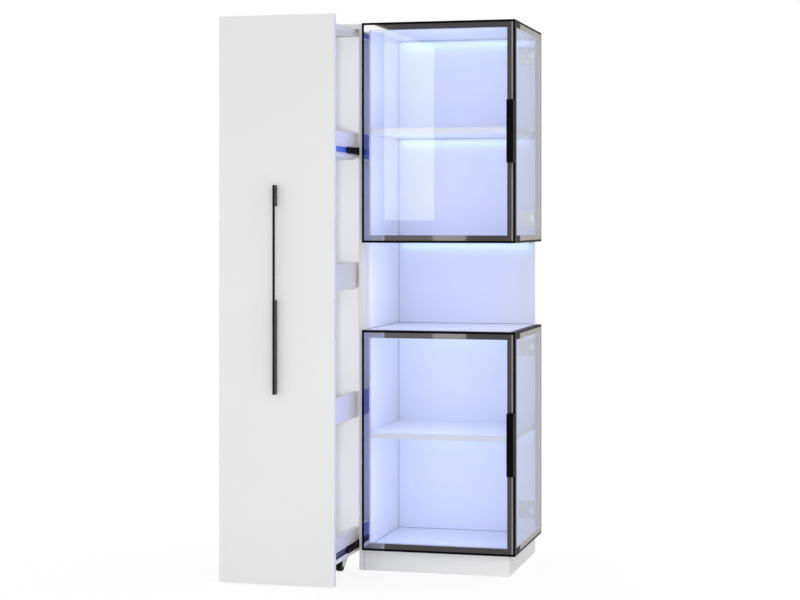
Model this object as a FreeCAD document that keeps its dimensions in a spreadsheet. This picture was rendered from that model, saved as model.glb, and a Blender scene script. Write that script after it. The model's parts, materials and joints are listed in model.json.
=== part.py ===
"""A tall white bookcase: a pull-out shelf unit on the left, a lit glass-door column on the right.

The unit stands on z = 0 with its front towards -y, drawn out as it is shown. The origin is the
middle of the footprint at that pose.
"""
import FreeCAD, Part
import os
import re

SIZES = {
    # the whole cabinet
    "width": 800,
    "depth": 410,
    "height": 1600,
    "board": 16,
    "back_board": 12,
    "overrun": 2,
    # split between the pull-out bay and the display column
    "bay_width": 344,
    "divider_cover": 2,
    "plinth_height": 62,
    "lower_door_height": 642,
    "niche_height": 255,
    # display shelves and light strips
    "shelf_set_back": 39,
    "shelf_end_gap": 3,
    "upper_shelf_share": 0.499,
    "lower_shelf_share": 0.511,
    "led_wide": 10,
    "led_high": 6,
    "led_end_gap": 8,
    # glass doors
    "door_thick": 18,
    "door_gap": 3,
    "mitre_gap": 0.6,
    "frame_border": 22,
    "frame_lip": 6.5,
    "lip_neck": 1,
    "glass_thick": 4,
    "glass_play": 0.2,
    # edge handles of the front doors
    "grip_length": 180,
    "grip_wide": 20,
    "grip_reach": 22,
    "grip_wall": 3,
    # door hinges
    "hinge_inset": 70,
    "hinge_axis_in": 7,
    "pin_radius": 2,
    "pin_fit": 0.05,
    "pin_seat": 8,
    "pin_seat_play": 0.02,
    "knuckle_radius": 3.5,
    "knuckle_height": 22,
    "knuckle_play": 0.5,
    "knuckle_end_gap": 1,
    "hinge_arm_long": 20,
    "hinge_plate_long": 50,
    "hinge_plate_tall": 54,
    "hinge_plate_thick": 3,
    "hinge_plate_set_back": 3,
    # pull-out unit
    "drawn": 254,
    "pull_front_thick": 18,
    "pull_side_gap": 4.2,
    "pull_floor_gap": 4.5,
    "pull_deep": 319,
    "pull_board": 15,
    "pull_base": 51,
    "pull_top_gap": 18,
    "pull_first_share": 0.256,
    "pull_pitch_share": 0.248,
    "rail_thick": 12,
    "rail_height": 74,
    "rail_lift": 4,
    "bottom_rail_height": 56.5,
    # long handle of the pull-out front
    "pull_handle_long": 585,
    "pull_handle_bottom": 538,
    "pull_handle_wide": 6,
    "pull_handle_reach": 23,
    "pull_handle_bar": 6,
    "pull_handle_low_foot": 263,
    "pull_handle_high_foot": 59,
    # telescopic runners
    "runner_long": 290,
    "runner_wide": 10,
    "runner_rise": 24.5,
    "runner_set_back": 2,
    "middle_set_back": 28,
    "runner_wall": 1.2,
    "runner_play": 0.4,
    "outer_high": 22,
    "outer_deep": 8,
    "middle_wall": 1.6,
    "middle_deep": 7,
    "inner_deep": 6,
    # casters
    "caster_half_span": 108,
    "caster_front_in": 60,
    "caster_rear_in": 244,
    "wheel_radius": 22,
    "wheel_wide": 18,
    "wheel_bevel": 3,
    "wheel_side_gap": 1,
    "axle_radius": 3,
    "fork_long": 70,
    "fork_trail": 27,
    "fork_plate": 3,
    "leg_thick": 2.5,
    "leg_foot": 16,
    "leg_drop": 8,
}

# places that follow from the sizes, written as sums of their names
LEFT = "(-width / 2)"
FRONT = "((drawn + pull_handle_reach - depth) / 2)"
CASE_FRONT = f"({FRONT} + door_thick + door_gap)"
BACK_FACE = f"({FRONT} + depth - back_board)"
CASE_DEEP = f"({BACK_FACE} - {CASE_FRONT})"
CASE_RIGHT = "(width / 2 - door_thick - door_gap)"
DOOR_LEFT = f"({LEFT} + bay_width)"
DIVIDER_RIGHT = f"({DOOR_LEFT} + divider_cover)"
DIVIDER_LEFT = f"({DIVIDER_RIGHT} - board)"
BAY_LEFT = f"({LEFT} + board)"
CASE_WIDE = f"({CASE_RIGHT} - {DIVIDER_RIGHT})"

FRONT_DOOR_WIDE = "(width - bay_width)"
SIDE_DOOR_WIDE = "(depth - back_board + divider_cover)"
LOWER_DOOR_TOP = "(plinth_height + lower_door_height)"
UPPER_DOOR_BOTTOM = f"({LOWER_DOOR_TOP} + niche_height)"
UPPER_DOOR_TALL = f"(height - {UPPER_DOOR_BOTTOM})"
UPPER_SHELF_Z = f"({UPPER_DOOR_BOTTOM} + board + upper_shelf_share * ({UPPER_DOOR_TALL} - 2 * board))"
LOWER_SHELF_Z = "(plinth_height + lower_shelf_share * (lower_door_height - board))"

HINGE_AXIS_DEEP = "(glass_thick + knuckle_play + knuckle_radius)"
NOTCH_TALL = "(knuckle_height + 2 * knuckle_end_gap)"
PIN_LONG = f"({NOTCH_TALL} + 2 * pin_seat)"

PULL_TOP = "(height - pull_top_gap)"
PULL_TALL = f"({PULL_TOP} - pull_base)"
PULL_Y = f"({FRONT} - drawn)"
PULL_INSIDE_Y = f"({PULL_Y} + pull_front_thick)"
PULL_INSIDE_DEEP = "(pull_deep - pull_front_thick - pull_board)"
PULL_LEFT = f"({BAY_LEFT} + runner_wide)"
PULL_RIGHT = f"({DIVIDER_LEFT} - runner_wide)"
PULL_WIDE = f"({PULL_RIGHT} - {PULL_LEFT})"
PULL_MIDDLE = f"(({PULL_LEFT} + {PULL_RIGHT}) / 2)"

MIDDLE_HIGH = "(outer_high - 2 * runner_wall - 2 * runner_play)"
INNER_HIGH = f"({MIDDLE_HIGH} - 2 * middle_wall - 2 * runner_play)"
OUTER_Y = f"({CASE_FRONT} + runner_set_back)"
FORK_WIDE = "(wheel_wide + 2 * wheel_side_gap + 2 * leg_thick)"

UP = FreeCAD.Vector(0, 0, 1)
ACROSS = FreeCAD.Vector(1, 0, 0)
ALONG = FreeCAD.Vector(0, 1, 0)

doc = FreeCAD.newDocument("Bookcase")
nodes = []


def make_sheet():
    """Write the driving sizes into the sheet, one named cell each."""
    sheet = doc.addObject("Spreadsheet::Sheet", "Dims")
    for row, (name, value) in enumerate(SIZES.items(), start=1):
        sheet.set(f"A{row}", name)
        sheet.set(f"B{row}", str(value))
        sheet.setAlias(f"B{row}", name)
    doc.recompute()


def bind(item, **sizes):
    """Bind properties of an item to sums of named sizes. A double underscore stands for a dot."""
    for prop, text in sizes.items():
        cells = re.sub(r"[a-z_]+", lambda word: f"Dims.{word.group(0)}", text)
        item.setExpression(prop.replace("__", "."), cells)
    return item


def place(item, x, y, z):
    return bind(item, Placement__Base__x=x, Placement__Base__y=y, Placement__Base__z=z)


def turn(item, axis, degrees):
    item.Placement.Rotation = FreeCAD.Rotation(axis, degrees)
    return item


def box(x, y, z, long, deep, tall):
    item = bind(doc.addObject("Part::Box", "Block"), Length=long, Width=deep, Height=tall)
    return place(item, x, y, z)


def post(x, y, z, radius, tall):
    """An upright round bar whose foot is at x, y, z."""
    item = bind(doc.addObject("Part::Cylinder", "Post"), Radius=radius, Height=tall)
    return place(item, x, y, z)


def rod(x, y, z, radius, long):
    """A round bar along x whose left end is at x, y, z."""
    return turn(post(x, y, z, radius, long), ALONG, 90)


def cut(base, *tools):
    """Take one or more tools away from a base."""
    item = doc.addObject("Part::Cut", "Cut")
    item.Base = base
    item.Tool = tools[0] if len(tools) == 1 else fuse(*tools)
    return item


def fuse(*shapes):
    item = doc.addObject("Part::MultiFuse", "Joined")
    item.Shapes = list(shapes)
    return item


def group(*items):
    """Like solids that share one node."""
    item = doc.addObject("Part::Compound", "Set")
    item.Links = list(items)
    return item


def node(label, item):
    """Name a finished piece of the bookcase."""
    item.Label = label
    nodes.append(item)
    return item


def carcass():
    """The fixed boards of the bay, the display column and its plinth."""
    def panel(label, x, y, z, long, deep, tall):
        node(label, box(x, y, z, long, deep, tall))

    panel("left_side_panel", LEFT, CASE_FRONT, "0", "board", CASE_DEEP, "height")
    panel("divider_panel", DIVIDER_LEFT, CASE_FRONT, "0", "board", CASE_DEEP, "height")
    panel("back_panel", LEFT, BACK_FACE, "0", f"{CASE_RIGHT} - {LEFT}", "back_board", "height")
    bay_wide = f"{DIVIDER_LEFT} - {BAY_LEFT}"
    panel("bay_top_panel", BAY_LEFT, CASE_FRONT, "height - board", bay_wide, CASE_DEEP, "board")
    for label, z in (
        ("display_top_panel", "height - board"),
        ("upper_case_floor", UPPER_DOOR_BOTTOM),
        ("lower_case_top", f"{LOWER_DOOR_TOP} - board"),
    ):
        panel(label, DIVIDER_RIGHT, CASE_FRONT, z, CASE_WIDE, CASE_DEEP, "board")
    behind, rest_deep = f"{CASE_FRONT} + board", f"{CASE_DEEP} - board"
    panel("plinth_front", DIVIDER_RIGHT, CASE_FRONT, "0", CASE_WIDE, "board", "plinth_height")
    panel("plinth_side", f"{CASE_RIGHT} - board", behind, "0", "board", rest_deep, "plinth_height")
    panel("lower_case_floor", DIVIDER_RIGHT, behind, "plinth_height - board",
          f"{CASE_WIDE} - board", rest_deep, "board")
    for label, z in (("upper_shelf", UPPER_SHELF_Z), ("lower_shelf", LOWER_SHELF_Z)):
        panel(label, DIVIDER_RIGHT, f"{CASE_FRONT} + shelf_set_back", z,
              f"{CASE_WIDE} - shelf_end_gap", f"{CASE_DEEP} - shelf_set_back", "board")


def led_strips():
    """One light strip under the rear of every ceiling in the display column."""
    ceilings = (
        "(height - board)",
        UPPER_SHELF_Z,
        UPPER_DOOR_BOTTOM,
        f"({LOWER_DOOR_TOP} - board)",
        LOWER_SHELF_Z,
    )
    x, y = f"{DIVIDER_RIGHT} + led_end_gap", f"{BACK_FACE} - led_wide"
    long = f"{CASE_WIDE} - shelf_end_gap - 2 * led_end_gap"
    strips = [box(x, y, f"{z} - led_high", long, "led_wide", "led_high") for z in ceilings]
    node("led_strips", group(*strips))


def door(name, wide, bottom, tall, on_side):
    """A framed pane, its pins and its fixed hinge halves.

    Each is made with the outer face on y = 0. A front door hangs by its edge at x = 0 and is mitred
    at the other end. A side door is the mirror image, turned to face +x.
    """
    def run(offset, size):
        """The start of a stretch that lies a given way in from the hinge edge."""
        return f"{wide} - ({offset}) - ({size})" if on_side else offset

    def hang(label, item):
        if on_side:
            turn(item, UP, 90)
        node(f"{name}_{label}", place(item, "width / 2" if on_side else DOOR_LEFT, FRONT, bottom))

    heights = ("hinge_inset", f"({tall} - hinge_inset)")
    blank = bind(
        doc.addObject("Part::Wedge", "Blank"),
        Xmin=run("0", f"{wide} - mitre_gap"),
        Xmax=f"{run('0', f'{wide} - mitre_gap')} + {wide} - mitre_gap",
        X2min=run("0", f"{wide} - mitre_gap - door_thick"),
        X2max=f"{run('0', f'{wide} - mitre_gap - door_thick')} + {wide} - mitre_gap - door_thick",
        Ymin="0", Ymax="door_thick", Zmin="0", Z2min="0", Zmax=tall, Z2max=tall,
    )
    opening_wide = f"{wide} - 2 * frame_border"
    opening = box("frame_border", "-overrun", "frame_border", opening_wide,
                  "door_thick + 2 * overrun", f"{tall} - 2 * frame_border")
    mitre_lip = "(glass_thick + mitre_gap + lip_neck)"
    bed_wide = f"({wide} - frame_lip - {mitre_lip})"
    bed_tall = f"({tall} - 2 * frame_lip)"
    bed = box(run("frame_lip", bed_wide), "-overrun", "frame_lip", bed_wide,
              "glass_thick + overrun", bed_tall)
    notch_wide = "hinge_axis_in + knuckle_radius + knuckle_play + overrun"
    axis_x = run("hinge_axis_in", "0")
    notches = [box(run("-overrun", notch_wide), "glass_thick", f"{z} - {NOTCH_TALL} / 2", notch_wide,
                   "door_thick - glass_thick + overrun", NOTCH_TALL) for z in heights]
    pin_foot = [f"{z} - {PIN_LONG} / 2" for z in heights]
    seats = [post(axis_x, HINGE_AXIS_DEEP, z, "pin_radius + pin_seat_play", PIN_LONG) for z in pin_foot]
    hang("frame", cut(blank, opening, bed, *notches, *seats))

    pane_wide = f"({bed_wide} - 2 * glass_play)"
    pane = box(run("frame_lip + glass_play", pane_wide), "0", "frame_lip + glass_play", pane_wide,
               "glass_thick", f"{bed_tall} - 2 * glass_play")
    hang("glass", group(pane))
    pins = [post(axis_x, HINGE_AXIS_DEEP, z, "pin_radius", PIN_LONG) for z in pin_foot]
    hang("hinge_pins", group(*pins))
    hang("hinges", group(*[fixed_hinge(run, z, axis_x) for z in heights]))
    if not on_side:
        hang("handle", edge_handle(wide, tall))


def fixed_hinge(run, z, axis_x):
    """A screw plate on the case wall, and the arm that carries the pin in its knuckle."""
    plate_y = "door_thick + door_gap + hinge_plate_set_back"
    plate = box(run("divider_cover", "hinge_plate_thick"), plate_y, f"{z} - hinge_plate_tall / 2",
                "hinge_plate_thick", "hinge_plate_long", "hinge_plate_tall")
    arm = box(run("hinge_axis_in - knuckle_radius", "2 * knuckle_radius"), HINGE_AXIS_DEEP,
              f"{z} - knuckle_height / 2", "2 * knuckle_radius",
              f"{plate_y} + hinge_arm_long - {HINGE_AXIS_DEEP}", "knuckle_height")
    foot = f"{z} - knuckle_height / 2"
    knuckle = post(axis_x, HINGE_AXIS_DEEP, foot, "knuckle_radius", "knuckle_height")
    bore = post(axis_x, HINGE_AXIS_DEEP, f"{foot} - overrun", "pin_radius + pin_fit",
                "knuckle_height + 2 * overrun")
    return cut(fuse(plate, arm, knuckle), bore)


def edge_handle(wide, tall):
    """A channel along the free edge of a front door, with its finger slot towards the hinge."""
    x, z = f"{wide} - mitre_gap - grip_wide", f"({tall} - grip_length) / 2"
    bar = box(x, "-grip_reach", z, "grip_wide", "grip_reach", "grip_length")
    slot = box(f"{x} - overrun", "grip_wall - grip_reach", f"{z} - overrun",
               "grip_wide - grip_wall + overrun", "grip_reach - 2 * grip_wall",
               "grip_length + 2 * overrun")
    return cut(bar, slot)


def doors():
    for side, wide in (("front", FRONT_DOOR_WIDE), ("side", SIDE_DOOR_WIDE)):
        on_side = side == "side"
        door(f"upper_{side}_door", wide, UPPER_DOOR_BOTTOM, UPPER_DOOR_TALL, on_side)
        door(f"lower_{side}_door", wide, "plinth_height", "lower_door_height", on_side)


def pull_level(level):
    """The underside of a board of the pull-out. Level 0 is its bottom, below the tallest space."""
    if level == 0:
        return "pull_base"
    return f"(pull_base + (pull_first_share + {level - 1} * pull_pitch_share) * {PULL_TALL})"


def pull_out():
    """The sliding shelf unit: front slab, back, boards and guard rails."""
    node("pull_out_front", box(LEFT, PULL_Y, "pull_floor_gap", "bay_width - pull_side_gap",
                               "pull_front_thick", "height - pull_floor_gap"))
    node("pull_out_back", box(PULL_LEFT, f"{PULL_Y} + pull_deep - pull_board", "pull_base", PULL_WIDE,
                              "pull_board", PULL_TALL))
    for name, z in (("top", f"{PULL_TOP} - pull_board"), ("bottom", pull_level(0))):
        node(f"pull_out_{name}", box(PULL_LEFT, PULL_INSIDE_Y, z, PULL_WIDE, PULL_INSIDE_DEEP, "pull_board"))
    guard_rails("bottom", f"{pull_level(0)} + pull_board", "bottom_rail_height")
    for level, name in enumerate(("low_shelf", "mid_shelf", "high_shelf"), start=1):
        z = pull_level(level)
        node(f"pull_out_{name}", box(f"{PULL_LEFT} + rail_thick", PULL_INSIDE_Y, z,
                                     f"{PULL_WIDE} - 2 * rail_thick", PULL_INSIDE_DEEP, "pull_board"))
        guard_rails(name, f"{z} + rail_lift", "rail_height")

    x = f"{LEFT} + (bay_width - pull_side_gap - pull_handle_wide) / 2"
    y = f"{PULL_Y} - pull_handle_reach"
    bar = box(x, y, "pull_handle_bottom", "pull_handle_wide", "pull_handle_reach", "pull_handle_long")
    gap = box(f"{x} - overrun", f"{y} + pull_handle_bar", "pull_handle_bottom + pull_handle_low_foot",
              "pull_handle_wide + 2 * overrun", "pull_handle_reach - pull_handle_bar + overrun",
              "pull_handle_long - pull_handle_low_foot - pull_handle_high_foot")
    node("pull_out_handle", cut(bar, gap))


def guard_rails(name, z, tall):
    """A left and a right rail along the edges of one board of the pull-out."""
    for side, x in (("left", PULL_LEFT), ("right", f"{PULL_RIGHT} - rail_thick")):
        node(f"{name}_{side}_rail", box(x, PULL_INSIDE_Y, z, "rail_thick", PULL_INSIDE_DEEP, tall))


def channel(x, y, z, long, deep, high, wall, open_left):
    """A runner member: a channel along y, centred on height z, with its web on one side."""
    bar = box(x, y, f"{z} - {high} / 2", deep, long, high)
    groove = box(f"{x} - overrun" if open_left else f"{x} + {wall}", f"{y} - overrun",
                 f"{z} - {high} / 2 + {wall}", f"{deep} - {wall} + overrun",
                 f"{long} + 2 * overrun", f"{high} - 2 * {wall}")
    return cut(bar, groove)


def runners():
    """Nested channels on both sides, at the bottom and the high shelf level."""
    for name, level in (("bottom", 0), ("high", 3)):
        z = f"({pull_level(level)} + runner_rise)"
        members = {"outer": [], "middle": [], "inner": []}
        for right in (False, True):
            step = "(runner_wall + runner_play)"
            outer_x, middle_x = BAY_LEFT, f"{BAY_LEFT} + {step}"
            inner_x = f"{PULL_LEFT} - inner_deep"
            if right:
                outer_x, middle_x = f"{DIVIDER_LEFT} - outer_deep", f"{DIVIDER_LEFT} - {step} - middle_deep"
                inner_x = PULL_RIGHT
            members["outer"].append(
                channel(outer_x, OUTER_Y, z, "runner_long", "outer_deep", "outer_high",
                        "runner_wall", right))
            members["middle"].append(
                channel(middle_x, f"{OUTER_Y} + middle_set_back - drawn / 2", z,
                        "(runner_long - middle_set_back)", "middle_deep", MIDDLE_HIGH, "middle_wall", right))
            members["inner"].append(
                channel(inner_x, f"{PULL_INSIDE_Y} + runner_set_back", z, "runner_long", "inner_deep",
                        INNER_HIGH, "runner_wall", not right))
        for member, pair in members.items():
            node(f"{name}_runner_{member}s", group(*pair))


def casters():
    """Four fixed casters under the pull-out: forks, axles and bevelled wheels."""
    forks, axles = [], []
    for end, inset in (("front", "caster_front_in"), ("rear", "caster_rear_in")):
        for side, sign in (("left", "-"), ("right", "+")):
            x = f"({PULL_MIDDLE} {sign} caster_half_span)"
            y = f"({PULL_Y} + {inset})"
            forks.append(fork(x, y))
            axles.append(rod(f"{x} - {FORK_WIDE} / 2", y, "wheel_radius", "axle_radius", FORK_WIDE))
            node(f"{end}_{side}_wheel", wheel(x, y))
    node("caster_forks", group(*forks))
    node("caster_axles", group(*axles))


def fork(x, y):
    """A top plate behind the axle, with two raked legs that are bored for it."""
    left_x = f"{x} - {FORK_WIDE} / 2"
    right_x = f"{x} + {FORK_WIDE} / 2 - leg_thick"
    plate = box(left_x, f"{y} - fork_long / 2 + fork_trail", "pull_base - fork_plate", FORK_WIDE,
                "fork_long", "fork_plate")
    legs = []
    for leg_x in (left_x, right_x):
        leg = bind(
            doc.addObject("Part::Wedge", "Leg"),
            Xmin="0", Xmax="leg_thick", X2min="0", X2max="leg_thick",
            Ymin="0", Ymax="pull_base - fork_plate - wheel_radius + leg_drop",
            Zmin="-leg_foot / 2", Zmax="leg_foot / 2",
            Z2min="-fork_long / 2 - fork_trail", Z2max="fork_long / 2 - fork_trail",
        )
        legs.append(place(turn(leg, ACROSS, 90), leg_x, y, "wheel_radius - leg_drop"))
    bore = rod(f"{left_x} - overrun", y, "wheel_radius", "axle_radius + pin_seat_play",
               f"{FORK_WIDE} + 2 * overrun")
    return cut(fuse(plate, *legs), bore)


def wheel(x, y):
    """A roller with bevelled shoulders, bored to run on its axle."""
    start = f"{x} - wheel_wide / 2"
    tread = rod(f"{start} + wheel_bevel", y, "wheel_radius", "wheel_radius", "wheel_wide - 2 * wheel_bevel")
    shoulders = []
    for shoulder_x, small_first in ((start, True), (f"{x} + wheel_wide / 2 - wheel_bevel", False)):
        radii = ("wheel_radius - wheel_bevel", "wheel_radius")
        first, last = radii if small_first else radii[::-1]
        cone = doc.addObject("Part::Cone", "Shoulder")
        bind(cone, Radius1=first, Radius2=last, Height="wheel_bevel")
        shoulders.append(place(turn(cone, ALONG, 90), shoulder_x, y, "wheel_radius"))
    bore = rod(f"{start} - overrun", y, "wheel_radius", "axle_radius + pin_fit", "wheel_wide + 2 * overrun")
    return cut(fuse(tread, *shoulders), bore)


def export():
    """Check every object, then write one file for each piece."""
    doc.recompute()
    failed = [item.Label for item in doc.Objects if {"Invalid", "Error"} & set(item.State)]
    broken = [item.Label for item in nodes if item.Shape.isNull() or not item.Shape.isValid()]
    if failed or broken:
        raise RuntimeError(f"failed objects {failed}, broken shapes {broken}")
    os.makedirs("parts", exist_ok=True)
    for item in nodes:
        item.Shape.exportStep(f"parts/{item.Label}.step")
    print(len(nodes), "pieces,", sum(len(item.Shape.Solids) for item in nodes), "solids")


make_sheet()
carcass()
led_strips()
doors()
pull_out()
runners()
casters()
export()
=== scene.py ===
"""Finishes, fittings and a studio stage for the glass-door bookcase with its pull-out shelf unit."""
import json
import math

import bmesh
import bpy
from bpy.props import FloatProperty, FloatVectorProperty, PointerProperty
from mathutils import Matrix, Vector


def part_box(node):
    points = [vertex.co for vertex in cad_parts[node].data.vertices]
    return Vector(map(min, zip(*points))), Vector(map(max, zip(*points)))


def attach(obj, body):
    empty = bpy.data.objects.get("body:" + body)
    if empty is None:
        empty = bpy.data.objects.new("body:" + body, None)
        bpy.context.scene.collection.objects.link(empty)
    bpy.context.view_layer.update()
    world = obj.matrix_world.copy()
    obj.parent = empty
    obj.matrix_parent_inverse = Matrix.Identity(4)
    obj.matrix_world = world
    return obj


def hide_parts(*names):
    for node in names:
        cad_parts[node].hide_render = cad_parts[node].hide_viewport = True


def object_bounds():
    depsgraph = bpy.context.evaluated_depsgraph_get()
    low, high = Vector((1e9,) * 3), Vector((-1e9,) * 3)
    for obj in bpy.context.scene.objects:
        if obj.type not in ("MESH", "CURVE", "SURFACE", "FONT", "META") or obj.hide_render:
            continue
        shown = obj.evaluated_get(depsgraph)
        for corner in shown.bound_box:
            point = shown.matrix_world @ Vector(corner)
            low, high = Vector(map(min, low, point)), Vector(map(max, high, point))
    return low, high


bl_info = {
    "name": "Glass-door bookcase",
    "version": (1, 0, 0),
    "blender": (4, 5, 0),
    "location": "View3D > Sidebar > Bookcase",
    "description": "Dresses the packed bookcase with lacquer, glass, metal fittings and light strips",
    "category": "Object",
}

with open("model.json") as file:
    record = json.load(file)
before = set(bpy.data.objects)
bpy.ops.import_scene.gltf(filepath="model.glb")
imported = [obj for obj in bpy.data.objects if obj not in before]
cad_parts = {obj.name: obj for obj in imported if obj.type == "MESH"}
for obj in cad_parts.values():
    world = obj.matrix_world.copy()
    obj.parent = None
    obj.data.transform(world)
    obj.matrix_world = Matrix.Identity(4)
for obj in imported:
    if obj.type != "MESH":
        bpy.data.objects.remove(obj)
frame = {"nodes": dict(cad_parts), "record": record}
CAD_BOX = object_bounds()
MM = 0.001
SLOTS = {part["node"]: part["material_slot"] for part in frame["record"]["subparts"]}
CASES = ("upper", "lower")
# Pieces of the pull-out that show as dark patches in the hinge stiles
RAIL_CARDS = ("pull_out_top", "high_shelf_right_rail", "low_shelf_right_rail", "bottom_right_rail")
# Lit spaces from the bottom up: those over a shelf, and the open niche
SHELF_SPACES, NICHE_SPACE = (1, 4), 2
# How brushed lines are drawn out along each axis
ALONG_X, ALONG_Y, ALONG_Z = (0.02, 1.0, 1.0), (1.0, 0.02, 1.0), (1.0, 1.0, 0.02)

# Planes that several pieces share, read from the frame
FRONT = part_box("upper_front_door_frame")[0].y
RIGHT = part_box("upper_side_door_frame")[1].x
DOOR_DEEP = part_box("upper_front_door_frame")[1].y - FRONT
GLASS_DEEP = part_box("upper_front_door_glass")[1].y - FRONT
CASE_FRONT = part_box("display_top_panel")[0].y
CASE_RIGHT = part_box("display_top_panel")[1].x
BACK_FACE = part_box("back_panel")[0].y
INSIDE_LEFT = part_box("display_top_panel")[0].x
DOOR_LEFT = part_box("upper_front_door_frame")[0].x
SIDE_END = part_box("upper_side_door_frame")[1].y
STRIP_HIGH = 6 * MM
DOORS = [f"{case}_{side}_door" for case in CASES for side in ("front", "side")]


def colour(name, text, value):
    """A linear colour that a user may change."""
    return FloatVectorProperty(
        name=name, description=text, subtype="COLOR", size=3, min=0, max=1, default=value)


def length(name, text, value):
    """A length that a user may change, in metres."""
    return FloatProperty(
        name=name, description=text, subtype="DISTANCE", unit="LENGTH", min=0, default=value)


def share(name, text, value):
    """A value from 0 to 1 that a user may change."""
    return FloatProperty(name=name, description=text, subtype="FACTOR", min=0, max=1, default=value)


def glow(name, text, value):
    """A light's strength that a user may change."""
    return FloatProperty(name=name, description=text, min=0, default=value)


class BoardSettings(bpy.types.PropertyGroup):
    """Lacquer of the boards."""
    board_colour: colour("Board colour", "Lacquer of the case and the pull-out", (0.91, 0.91, 0.91))
    rail_colour: colour("Rail colour", "Laminate of the guard rails", (0.80, 0.79, 0.82))
    edge_radius: length("Edge radius", "Rounding of the board edges", 0.8 * MM)
    # Joint lines: partly the real gaps between the boards, partly painted shade in the inside corners
    joint_shade_colour: colour("Joint colour", "Shadowed joints between the boards", (0.16, 0.17, 0.24))
    joint_wide: length("Joint width", "Width of the joints between the boards", 0.9 * MM)
    peel_size: length("Peel size", "Grain of the sprayed lacquer", 1.4 * MM)
    drift_size: length("Drift size", "Size of the slow changes of tone", 300 * MM)


class DoorSettings(bpy.types.PropertyGroup):
    """Frames and panes of the glass doors."""
    lip_colour: colour("Lip colour", "Dark edge that holds the glass", (0.004, 0.004, 0.006))
    band_colour: colour("Band colour", "Polished band that shows behind the glass", (0.60, 0.58, 0.58))
    inner_colour: colour("Inner colour", "Pale satin metal inside the frame", (0.78, 0.78, 0.80))
    seal_colour: colour("Seal colour", "Pale seal beside the mitred edge", (0.36, 0.36, 0.35))
    rear_colour: colour("Rear colour", "Grey metal in the side doors' rear stiles", (0.36, 0.34, 0.28))
    # Painted reflection: a bluish tint that stands in for the lit cases mirrored in the front doors' hinge
    # stiles
    painted_hinge_reflection: colour("Hinge band", "Bluish band of the front doors' hinge stiles", (0.53, 0.55, 0.635))
    corner_band: colour("Corner band", "Black band beside the mitred corner", (0.006, 0.006, 0.022))
    glass_colour: colour("Glass colour", "Tint of the front panes", (0.985, 0.992, 0.995))
    side_glass: colour("Side glass", "Tint of the side panes", (0.90, 0.92, 1.0))
    corner_long: length("Corner length", "Reach of the black band along the rails of a side door", 75 * MM)
    edge_radius: length("Edge radius", "Rounding of the frame edges", 0.35 * MM)
    border: length("Border", "Width of the frame round the clear opening", 22 * MM)
    seal_wide: length("Seal width", "Width of the pale seal", 4.2 * MM)
    joint: length("Joint", "Fine gap between the pieces of a pane", 0.05 * MM)


class FittingSettings(bpy.types.PropertyGroup):
    """Handles, hinges and runners."""
    handle_colour: colour("Handle colour", "Brushed dark metal of the handles", (0.022, 0.022, 0.024))
    grip_colour: colour("Grip colour", "Black edge handles of the glass doors", (0.004, 0.004, 0.005))
    steel_colour: colour("Steel colour", "Nickel plate of the hinges", (0.60, 0.60, 0.64))
    cover_colour: colour("Cover colour", "Bright hinge covers and screws", (0.86, 0.86, 0.88))
    zinc_colour: colour("Zinc colour", "Zinc of the high inner runners", (0.10, 0.24, 0.86))
    # Painted shade: the bottom inner runners take a darker copy of the zinc, as they sit in shade
    low_zinc_painted_shade: colour("Low zinc colour", "Zinc of the bottom inner runners", (0.07, 0.07, 0.24))
    runner_colour: colour("Runner colour", "Dark outer and middle runners", (0.006, 0.006, 0.008))
    edge_radius: length("Edge radius", "Rounding of the metal edges", 0.5 * MM)
    screw_radius: length("Screw radius", "Radius of a screw head", 3.2 * MM)
    screw_height: length("Screw height", "Height of a screw head", 1.2 * MM)
    recess_wide: length("Recess width", "Width of the cross in a screw head", 0.9 * MM)
    cover_thick: length("Cover thickness", "Pressed cover on a hinge arm", 1.6 * MM)
    leaf_thick: length("Leaf thickness", "Hinge leaf on the rear of a door frame", 1.0 * MM)
    collar_long: length("Collar length", "Stop collar at the front of a middle runner", 4 * MM)
    collar_proud: length("Collar proud", "How far a stop collar stands out round its runner", 0.1 * MM)
    bumper_colour: colour("Bumper colour", "Clear soft bumpers behind the doors", (0.62, 0.64, 0.66))
    bumper_radius: length("Bumper radius", "Radius of a door bumper", 4 * MM)
    bumper_height: length("Bumper height", "Height of a door bumper", 2.2 * MM)


class CasterSettings(bpy.types.PropertyGroup):
    """Casters under the pull-out."""
    tyre_colour: colour("Tyre colour", "Rubber of the wheels", (0.006, 0.006, 0.006))
    hub_colour: colour("Hub colour", "Nylon of the hubs", (0.10, 0.10, 0.105))
    fork_colour: colour("Fork colour", "Pale coated steel of the forks", (0.90, 0.90, 0.90))
    hub_share: share("Hub share", "Hub radius as a share of the wheel radius", 0.62)
    cap_radius: length("Cap radius", "Riveted cap on the end of an axle", 5 * MM)
    cap_thick: length("Cap thickness", "Height of an axle cap", 1.5 * MM)


class StripSettings(bpy.types.PropertyGroup):
    """Light strips under the ceilings of the display column."""
    lens_colour: colour("Lens colour", "Light of the frosted lens", (0.66, 0.82, 1.0))
    channel_colour: colour("Channel colour", "Aluminium channel of the strip", (0.70, 0.70, 0.72))
    lens_glow: glow("Lens glow", "Strength of the lens", 0.35)
    cap_colour: colour("Cap colour", "End caps of the strips", (0.45, 0.45, 0.47))
    chip_pitch: length("Chip pitch", "Distance between two light chips", 16 * MM)
    cap_long: length("Cap length", "End cap of a strip", 3 * MM)
    lens_share: share("Lens share", "Lens height as a share of the strip height", 0.45)


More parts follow.
